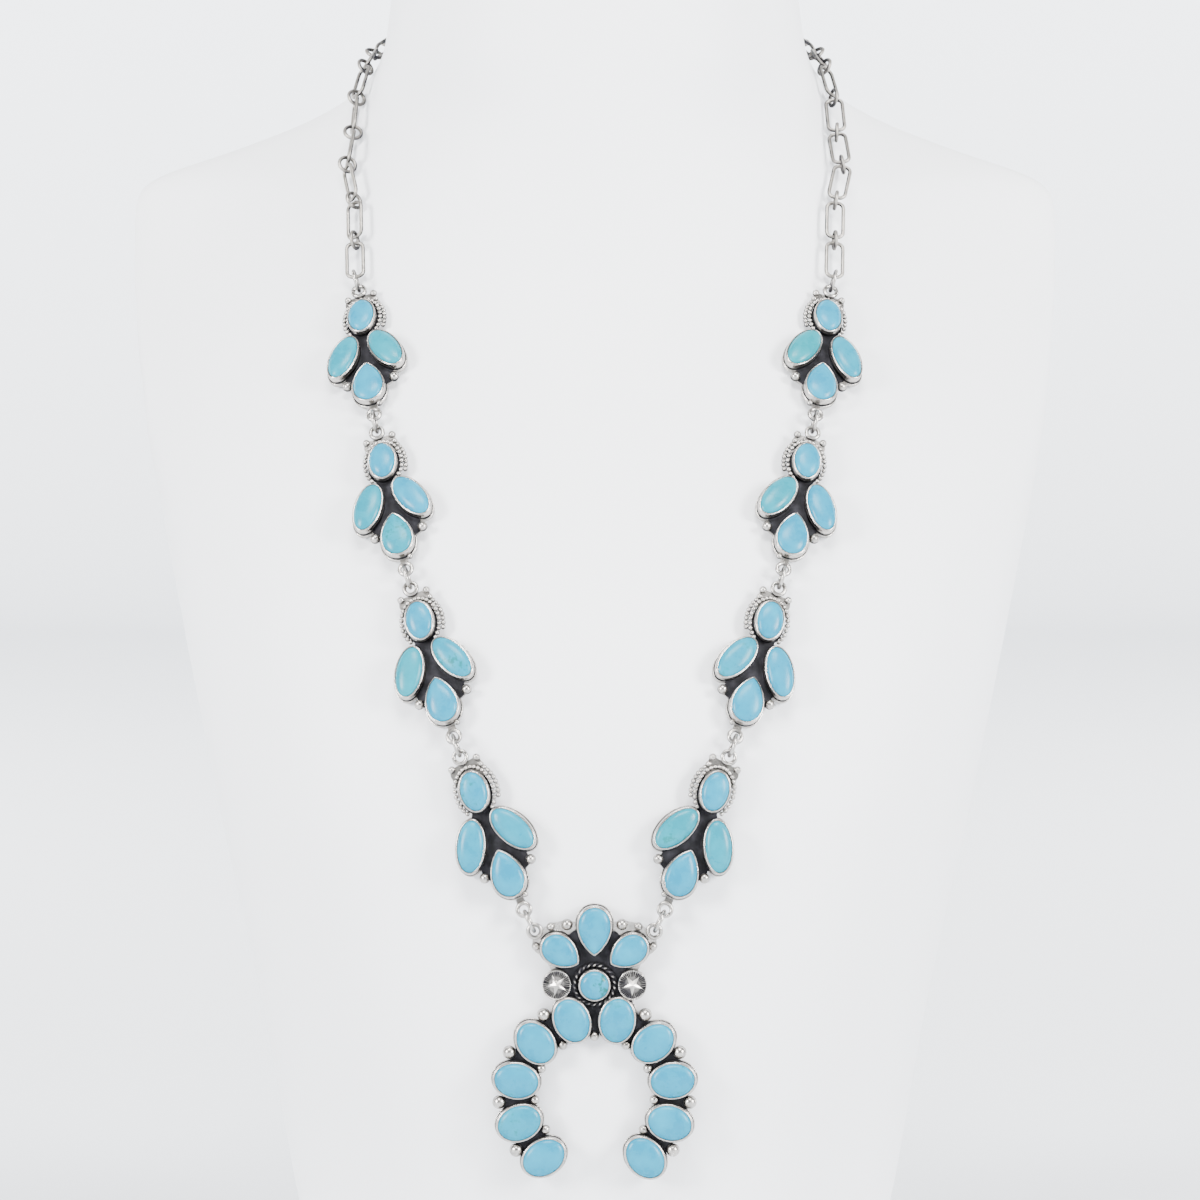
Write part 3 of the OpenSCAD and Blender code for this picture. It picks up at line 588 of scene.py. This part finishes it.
# The right half of the sheet behind the flower, as shares of NAJA_R, and of its blackened part,
# in millimetres
FLOWER = [(0.40, -0.5), (0.49, -0.2), (0.54, 0.17), (0.62, 0.33), (0.735, 0.405), (0.785, 0.47),
          (0.775, 0.56), (0.69, 0.61), (0.64, 0.71), (0.55, 0.77), (0.36, 0.805), (0.2, 0.78)]
DARK = [(7.5, -10.5), (9.3, -4.0), (9.3, 4.6), (6.5, 12.2), (3.5, 14.6)]
flower = both_halves([(x * NAJA_R, y * NAJA_R) for x, y in FLOWER])
flower_dark = both_halves(DARK)
# The horseshoe's band: how far round it goes to each side, and how far it reaches out and in
BAND_OPEN, BAND_STEPS, BAND_OUT, BAND_IN = 143, 28, 3.1, 4.3
band_turns = [BAND_OPEN * (k / BAND_STEPS - 1) for k in range(2 * BAND_STEPS + 1)]
band = (naja_arc(NAJA_R + BAND_OUT, band_turns)
        + naja_arc(NAJA_R - BAND_IN, reversed(band_turns)))
print("corners of the sheets:", len(flower), len(flower_dark), len(band))

# %% Twisted wire ring and star button
# Two wires twisted together have a section like an eight: full along one line, pinched across it
FULL, PINCHED = 0.55, 0.45
# Only the crests of the twist are rubbed clean. Heights here are shares of the wire's thickness.
CREST_CLEAN, CREST_FROM = 0.54, (0.36, 0.5)
def twisted_ring(radius, wire, turns, steps=264, sides=16):
    section = []
    for k in range(sides):
        turn = tau * k / sides
        reach = wire / 2 * (PINCHED + FULL * abs(cos(turn)))
        section.append((radius + reach * cos(turn), reach * sin(turn)))
    bm = lathe(section, steps, closed=True)
    layer = bm.verts.layers.float.new("oxide_and_shade")
    for v in bm.verts:
        turn, reach = atan2(v.co.y, v.co.x), hypot(v.co.x, v.co.y) - radius
        x, z = Matrix.Rotation(turns * turn, 2) @ Vector((reach, v.co.z))
        v.co = ((radius + x) * cos(turn), (radius + x) * sin(turn), z)
        v[layer] = 1 - CREST_CLEAN * smooth_step(*CREST_FROM, z / wire)
    return bm

# Heights of the button's rim, and of its front, above which it is hatched and the star stands
BUTTON_TOP, BUTTON_FRONT = 2.4, 2.2
# Strokes round the rim, the two edges of their ring inside the button's edge, and their depth
HATCHES, HATCH_RING, HATCH_DEPTH = 40, (0.3, 1.7), 0.2
HATCH_DARK, FIELD_DARK = 0.95, 0.55
# The star's inner corners, as a share of its points' reach
STAR_WAIST = 0.34
def star_button():
    r, top = sum(STONES["button"][:2]) / 4, BUTTON_TOP
    section = [(0, 0), (r - 0.1, 0), (r, 0.12), (r, top - 0.3), (r - 0.08, top - 0.06),
               (r - 0.25, top + 0.02), (r - 0.5, top - 0.05), (r - 1.0, top), (r - 1.5, top),
               (r - 1.8, top - 0.04), (0, top - 0.04)]
    bm = press(lathe(section, 4 * HATCHES), "button")
    layer = bm.verts.layers.float.new("oxide_and_shade")
    for v in bm.verts:
        reach, step = hypot(v.co.x, v.co.y), round(4 * HATCHES * atan2(v.co.x, v.co.y) / tau)
        if v.co.z > BUTTON_FRONT and reach < r - HATCH_RING[0]:
            cut = reach > r - HATCH_RING[1] and step % 4 < 2
            v.co.z -= HATCH_DEPTH if cut else 0
            v[layer] = HATCH_DARK if cut else FIELD_DARK
    return bm

def star(r, low, rim, peak):
    bm = bmesh.new()
    points = []
    for k in range(10):
        reach = r if k % 2 == 0 else STAR_WAIST * r
        points.append(bm.verts.new((reach * sin(tau * k / 10), reach * cos(tau * k / 10), low)))
    base = bm.faces.new(points)
    top = bmesh.ops.extrude_face_region(bm, geom=[base], use_keep_orig=True)["geom"]
    bmesh.ops.translate(bm, vec=(0, 0, rim - low), verts=only(bmesh.types.BMVert, top))
    for centre in bmesh.ops.poke(bm, faces=only(bmesh.types.BMFace, top))["verts"]:
        centre.co.z = peak
    bmesh.ops.recalc_face_normals(bm, faces=bm.faces)
    return bm

# %% Build the pendant's silver
TWIST_R, TWIST_WIRE, TWIST_TURNS = 4.97, 1.5, 11
BUTTON_AT, STAR_R, STAR_TURNS = 9.52, 2.7, {-1: 25, 1: -38}
PENDANT_LOOP = (15, 13.5)
# Balls beside the crest, each by its place and size, and those in the horseshoe's gaps, by the
# radius they lie on and their size
CREST_BALLS = [(11, 14.6, 2.1), (6.9, 15.1, 2.9), (14.7, 9.6, 2.1)]
GAP_BALLS = [(NAJA_R + 4, 3.4), (NAJA_R - 5, 2.4)]
def pendant_silver():
    bm = bmesh.new()
    for k, (kind, spot) in enumerate(PENDANT_STONES.values()):
        add(bm, bezel(kind, 0.004 * k), spot)
    add(bm, sheet(band, 0.06, PLATE - 0.04))
    add(bm, sheet(flower, 0.07, PLATE - 0.05))
    mark_hollows(bm, [band, flower_dark])
    add(bm, twisted_ring(TWIST_R, TWIST_WIRE, TWIST_TURNS), at(0, 0, PLATE + 0.45))
    for side in (-1, 1):
        add(bm, star_button(), at(side * BUTTON_AT, 0))
        add(bm, star(STAR_R, BUTTON_FRONT, BUTTON_TOP + 0.1, BUTTON_TOP + 0.6),
            at(side * BUTTON_AT, 0, 0, STAR_TURNS[side]))
        add(bm, wire_ring(*LOOP), at(side * PENDANT_LOOP[0], PENDANT_LOOP[1], LOOP_LEVEL))
        for x, y, size in CREST_BALLS:
            add(bm, ball(size), at(side * x, y, PLATE + 0.15))
        for k in range(len(NAJA_SLIPS) - 1):
            angle = side * (NAJA_FIRST + NAJA_STEP * (k + 0.5))
            for radius, size in GAP_BALLS:
                (x, y), = naja_arc(radius, [angle])
                add(bm, ball(size), at(x, y, PLATE))
    radius, size = GAP_BALLS[1]
    add(bm, ball(size), at(0, radius - NAJA_DROP, PLATE))
    return bm

finish_piece("pendant_silverwork", pendant_silver(), setting_silver,
             ["pendant_setting"], pendant_place)

# %% [markdown]
# ## Turquoise
#
# The stones are smooth cabochons: a straight wall down in the bezel and a low dome above it. A full
# half sphere would be too round, so the dome's profile falls slowly at first and steeply at its
# edge. Turquoise is a soft sky blue with paler clouds. Some stones lean to green, and a few carry
# dark green specks. How much of each a stone has is kept as two attributes of its mesh, so one
# material serves all.

# %% Turquoise material
SKY, PALE_SKY = (0.0, 0.16, 0.265, 1), (0.002, 0.225, 0.345, 1)
SEA, PALE_SEA = (0.0, 0.16, 0.175, 1), (0.002, 0.21, 0.23, 1)
SPECK = (0.004, 0.085, 0.07, 1)
turquoise, tree, shader = new_material("polished_turquoise")
where = tree.nodes.new("ShaderNodeTexCoord").outputs["Object"]
clouds = noise(tree, where, 210.0, 5.0, Roughness=0.6)
soft = spread(tree, clouds, 0.35, 0.7)
sky, sea = mixed(tree, soft, SKY, PALE_SKY), mixed(tree, soft, SEA, PALE_SEA)
stone_colour = mixed(tree, attribute(tree, "green"), sky, sea)
grit = noise(tree, where, 900.0, 6.0, Roughness=0.7)
specks = spread(tree, reckon(tree, "MULTIPLY", grit, clouds), 0.27, 0.37, smooth=True)
specked = reckon(tree, "MULTIPLY", specks, attribute(tree, "specked"))
feed(tree, shader.inputs["Base Color"], mixed(tree, specked, stone_colour, SPECK))
feed(tree, shader.inputs["Roughness"], spread(tree, clouds, 0.3, 0.7, 0.24, 0.34))
feed(tree, shader.inputs["Normal"], bump(tree, clouds, 0.1, 0.0003))
shader.inputs["IOR"].default_value = 1.5
shader.inputs["Specular IOR Level"].default_value = 0.2
print("turquoise material:", turquoise.name)

# %% Cut the cabochons
# The height at which the wall ends and the dome starts
GIRDLE = 3.1
DOME_STEPS, DOME_BEND, CLOSER_AT_EDGE = 14, 2.5, 1.9
def cabochon(kind):
    length, width, _ = STONES[kind]
    middle = (length + width) / 4
    dome = [(middle * s, GIRDLE + (STONE_TOP - GIRDLE) * (1 - s ** DOME_BEND) ** 0.5)
            for s in (1 - (k / DOME_STEPS) ** CLOSER_AT_EDGE for k in range(DOME_STEPS + 1))]
    wall = [(0, STONE_BASE), (middle * 0.97, STONE_BASE), (middle, STONE_BASE + 0.15)]
    return press(lathe(wall + dome, 64), kind)

def lay_stone(solid, kind, place, green, specked):
    bm = cabochon(kind)
    for label, value in (("green", green), ("specked", specked)):
        layer = bm.verts.layers.float.new(label)
        for v in bm.verts:
            v[layer] = value
    finish_piece(solid.replace("_stone", "_cabochon"), bm, turquoise, [solid], place)

# %% Lay the stones
# The stones that lean to green, and those with specks, each with how much. The rest have none.
GREEN = {"left_blossom_1_outer": 0.5, "left_blossom_1_inner": 0.6, "right_blossom_1_inner": 0.8,
         "right_blossom_1_outer": 0.3, "left_blossom_2_outer": 0.5, "right_blossom_2_inner": 0.6,
         "left_blossom_2_pear": 0.5, "left_blossom_3_outer": 0.6, "left_blossom_3_inner": 0.25,
         "right_blossom_3_inner": 0.25, "left_blossom_4_inner": 0.3, "right_blossom_4_inner": 0.6,
         "left_blossom_4_outer": 0.15, "right_blossom_4_outer": 0.5, "left_naja_4": 0.2}
SPECKED = {"left_blossom_2_pear": 0.7, "left_blossom_3_inner": 0.7, "right_blossom_4_inner": 0.6,
           "right_naja_3": 0.8, "right_blossom_3_inner": 0.4, "left_naja_4": 0.6,
           "left_blossom_4_small": 0.6, "round": 0.9, "left_naja_3": 0.4, "right_naja_1": 0.4}
stones = {}
for (side_name, row), place in blossom_places.items():
    for kind in BLOSSOM_STONES:
        spot = stone_spot(kind, SIDES[side_name])
        stones[f"{side_name}_blossom_{row}_{kind}_stone"] = (kind, place @ spot)
for solid, (kind, spot) in PENDANT_STONES.items():
    stones[solid] = (kind, pendant_place @ spot)
for solid, (kind, place) in stones.items():
    key = solid.replace("_stone", "")
    lay_stone(solid, kind, place, GREEN.get(key, 0), SPECKED.get(key, 0))
print("stones laid:", len(stones))

# %% [markdown]
# ## Chain and jump rings
#
# The chain alternates long links with round ones, all of plain round wire. A long link is bent
# round four corners, so its wire's section is spun round each corner and pushed along each straight
# side. The side of a wire that faces away from the wearer is left bright, and its flanks get painted
# shade.

# %% Bend a long link
def long_link(length, width, wire, bend, sides=12):
    across, along = (width - wire) / 2 - bend, (length - wire) / 2 - bend
    bm = bmesh.new()
    start = Matrix.Translation((across + bend, -along, 0)) @ Matrix.Rotation(pi / 2, 4, "X")
    ring = bmesh.ops.create_circle(bm, segments=sides, radius=wire / 2, matrix=start)
    line = list({e for v in ring["verts"] for e in v.link_edges})
    bends = [(across, along), (-across, along), (-across, -along), (across, -along)]
    for corner, (x, y) in enumerate(bends):
        step = Vector((0, 2 * along, 0)) if corner % 2 == 0 else Vector((2 * across, 0, 0))
        made = bmesh.ops.extrude_edge_only(bm, edges=line)["geom"]
        bmesh.ops.translate(bm, vec=step if corner in (0, 3) else -step,
                            verts=only(bmesh.types.BMVert, made))
        line = [e for e in only(bmesh.types.BMEdge, made) if len(e.link_faces) == 1]
        ends = list({v for e in line for v in e.verts})
        made = bmesh.ops.spin(bm, geom=ends + line, cent=(x, y, 0), axis=(0, 0, 1), angle=pi / 2,
                              steps=7)
        line = only(bmesh.types.BMEdge, made["geom_last"])
    bmesh.ops.remove_doubles(bm, verts=bm.verts, dist=1e-3)
    bmesh.ops.recalc_face_normals(bm, faces=bm.faces)
    return bm

# %% Lay the chain and the jump rings
# Away from the wearer is away from the neck's middle line, which stands NECK_BACK behind the
# origin, and a little upwards. A wire gets the most painted shade where it faces least that way.
NECK_BACK, UPWARDS = 60, 30
FLANK_SHADE, FLANK_FADE = 0.62, (0.1, 0.8)
# A solid that reaches further than this from its middle is a long link
LONG_FROM = 4
def wire_piece(name, solid, material, shape):
    bm = bmesh.new()
    for points in loose_solids(solid):
        place = wire_place(points)
        add(bm, shape(points), place)
    bm.normal_update()
    layer = bm.verts.layers.float.get("oxide_and_shade")
    # Painted shade on each wire's flanks, by how little a point faces away from the wearer
    for v in bm.verts:
        away = Vector((v.co.x, v.co.y - NECK_BACK, UPWARDS)).normalized()
        v[layer] = FLANK_SHADE * (1 - smooth_step(*FLANK_FADE, v.normal.dot(away)))
    finish_piece(name, bm, material, [solid])

def chain_shape(points):
    reach = np.linalg.norm(points - points.mean(0), axis=1).max()
    if reach > LONG_FROM:
        return long_link(*LONG_LINK)
    return wire_ring(*ROUND_LINK, steps=36, sides=12)

def jump_ring_shape(points):
    return wire_ring(*JUMP_RING)

wire_piece("paperclip_chain", "chain", wire_silver, chain_shape)
wire_piece("loose_jump_rings", "jump_rings", setting_silver, jump_ring_shape)

# %% [markdown]
# ## The bust
#
# The bust is a smooth moulded shell. Its solid is made of flat facets, so the piece starts as a
# copy of it: doubles are merged, pairs of triangles become quads, and a subdivision surface rounds
# them into one flowing skin. Creases keep the rim of the foot crisp.

# %% Round the bust's skin
# A corner lower than this, in metres, is on the underside of the foot
FOOT_UNDER = 1e-5
bm = bmesh.new()
bm.from_mesh(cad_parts["bust"].data)
bmesh.ops.remove_doubles(bm, verts=bm.verts, dist=1e-6)
bmesh.ops.join_triangles(bm, faces=bm.faces, angle_face_threshold=radians(25),
                         angle_shape_threshold=radians(60))
bmesh.ops.dissolve_limit(bm, angle_limit=radians(0.5),
                         verts=[v for v in bm.verts if v.co.z < FOOT_UNDER],
                         edges=[e for e in bm.edges if max(v.co.z for v in e.verts) < FOOT_UNDER])
crease = bm.edges.layers.float.new("crease_edge")
for edge in bm.edges:
    if max(v.co.z for v in edge.verts) < FOOT_UNDER:
        edge[crease] = 0.9
bmesh.ops.transform(bm, matrix=Matrix.Scale(1 / MM, 4), verts=bm.verts)
print("faces of the bust before rounding:", len(bm.faces))

# %% Bust material, and the bust finished
bust_white, tree, shader = new_material("matte_white_bust")
where = tree.nodes.new("ShaderNodeTexCoord").outputs["Object"]
mottle = noise(tree, where, 18.0, 6.0)
white = mixed(tree, mottle, (0.80, 0.81, 0.835, 1), (0.835, 0.84, 0.855, 1))
feed(tree, shader.inputs["Base Color"], white)
feed(tree, shader.inputs["Roughness"], spread(tree, mottle, 0, 1, 0.5, 0.62))
feed(tree, shader.inputs["Normal"], bump(tree, noise(tree, where, 900.0, 3.0), 0.04, 0.0002))
bust = finish_piece("bust_shell", bm, bust_white, ["bust"])
rounding = bust.modifiers.new("rounding", "SUBSURF")
rounding.levels = rounding.render_levels = 2

# %% [markdown]
# ## Clasp
#
# The clasp is behind the neck, where the photo doesn't look, so it is a plain bar with an eye at
# each end. Its bar is a box with rounded edges, and the eyes are the same rings as the chain's.

# %% Build the clasp
CLASP_L, CLASP_W, BAR_THICK, BAR_ROUND = 18, 6, 2, 0.35
low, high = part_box("clasp")
clasp_middle = (low + high) / 2 / MM
bm = bmesh.new()
eye_length = 2 * ROUND_LINK[1] + 2
bar = bmesh.ops.create_cube(bm, size=1)["verts"]
bmesh.ops.scale(bm, vec=(CLASP_W / 2, CLASP_L - 2 * eye_length, BAR_THICK), verts=bar)
bmesh.ops.bevel(bm, geom=bm.edges[:], offset=BAR_ROUND, offset_type="OFFSET", segments=3,
                profile=0.5, affect="EDGES", material=-1)
for end in (-1, 1):
    add(bm, wire_ring(CLASP_W, ROUND_LINK[1]), at(0, end * (CLASP_L - CLASP_W) / 2))
clasp_place = Matrix(((0, -1, 0), (0, 0, 1), (-1, 0, 0))).to_4x4()
clasp_place.translation = clasp_middle
finish_piece("plain_clasp", bm, wire_silver, ["clasp"], clasp_place)

# %% [markdown]
# ## Floor, backdrop and light
#
# The photo is a light studio picture: a pale, slightly blue paper behind a white bust, and soft
# light from both sides. The paper is one sheet that curves from the floor into the wall, and the
# wall stands far enough back to look at the bust from behind. Polished silver shows what stands
# round it. Behind the camera that is a dim room with a window on each side and one above, which
# draws every wire and rim with bright streaks between darker ones.

# %% Paper sweep
# Half the sheet's width, where its bend starts, the bend's radius and the wall's height, in metres
PAPER_HALF, PAPER_BACK, PAPER_BEND, PAPER_TOP = 5.0, 3.2, 0.6, 5.0
bm = bmesh.new()
line = [bm.verts.new((-PAPER_HALF, -PAPER_HALF, 0)), bm.verts.new((-PAPER_HALF, PAPER_BACK, 0))]
bm.edges.new(line)
bend = bmesh.ops.spin(bm, geom=[line[1]], cent=(-PAPER_HALF, PAPER_BACK, PAPER_BEND),
                      axis=(1, 0, 0), angle=pi / 2, steps=16)
top, = only(bmesh.types.BMVert, bend["geom_last"])
wall = bm.verts.new((-PAPER_HALF, top.co.y, PAPER_TOP))
bm.edges.new((top, wall))
across = bmesh.ops.extrude_edge_only(bm, edges=bm.edges[:])["geom"]
bmesh.ops.translate(bm, vec=(2 * PAPER_HALF, 0, 0), verts=only(bmesh.types.BMVert, across))
for face in bm.faces:
    face.smooth = True
mesh = bpy.data.meshes.new("paper_sweep")
bm.to_mesh(mesh)
bm.free()
paper, _, shader = new_material("pale_paper")
shader.inputs["Base Color"].default_value = (0.82, 0.845, 0.88, 1)
shader.inputs["Roughness"].default_value = 0.9
mesh.materials.append(paper)
sweep = bpy.data.objects.new("paper_sweep", mesh)
bpy.context.scene.collection.objects.link(sweep)
print("paper faces:", len(mesh.polygons))

# %% Lights
def soft_light(name, place, aim, size, power):
    light = bpy.data.lights.new(name, "AREA")
    light.shape = "RECTANGLE"
    light.size, light.size_y = size
    light.energy = power
    lamp = bpy.data.objects.new(name, light)
    lamp.location = place
    lamp.rotation_euler = (Vector(aim) - Vector(place)).to_track_quat("-Z", "Y").to_euler()
    bpy.context.scene.collection.objects.link(lamp)

# Place and aim in metres, size of the pane, and power in watts
soft_light("left_window", (-1.5, -1.3, 0.8), (0, -0.05, 0.2), (0.5, 0.8), 92)
soft_light("right_window", (1.5, -1.2, 0.8), (0, -0.05, 0.2), (0.5, 0.8), 98)
soft_light("top_window", (0, -1.0, 1.8), (0, 0, 0.2), (0.9, 0.5), 62)
for side in (-1, 1):
    soft_light(f"paper_light_{side}", (side * 2.0, 0.9, 0.9), (side * 0.3, 3.8, 0.7), (0.8, 1.4),
               240)

# %% The room round the stage
NO_LIGHT, DAYLIGHT = (0.0, 0.0, 0.0, 1), (0.94, 0.97, 1.0, 1)
world = bpy.data.worlds.new("studio")
world.use_nodes = True
bpy.context.scene.world = world
tree = world.node_tree
back = tree.nodes["Background"]
direction = tree.nodes.new("ShaderNodeTexCoord").outputs["Generated"]
depth = node(tree, "ShaderNodeSeparateXYZ", Vector=direction).outputs["Y"]
before = spread(tree, depth, -0.95, -0.5, 0.22, 0.07, smooth=True)
behind = spread(tree, depth, -0.1, 0.5, 0.0, 0.9, smooth=True)
room = reckon(tree, "ADD", before, behind)
feed(tree, back.inputs["Color"], mixed(tree, room, NO_LIGHT, DAYLIGHT))
back.inputs["Strength"].default_value = 2.2
print("lights:", len(bpy.data.lights), "and the room")
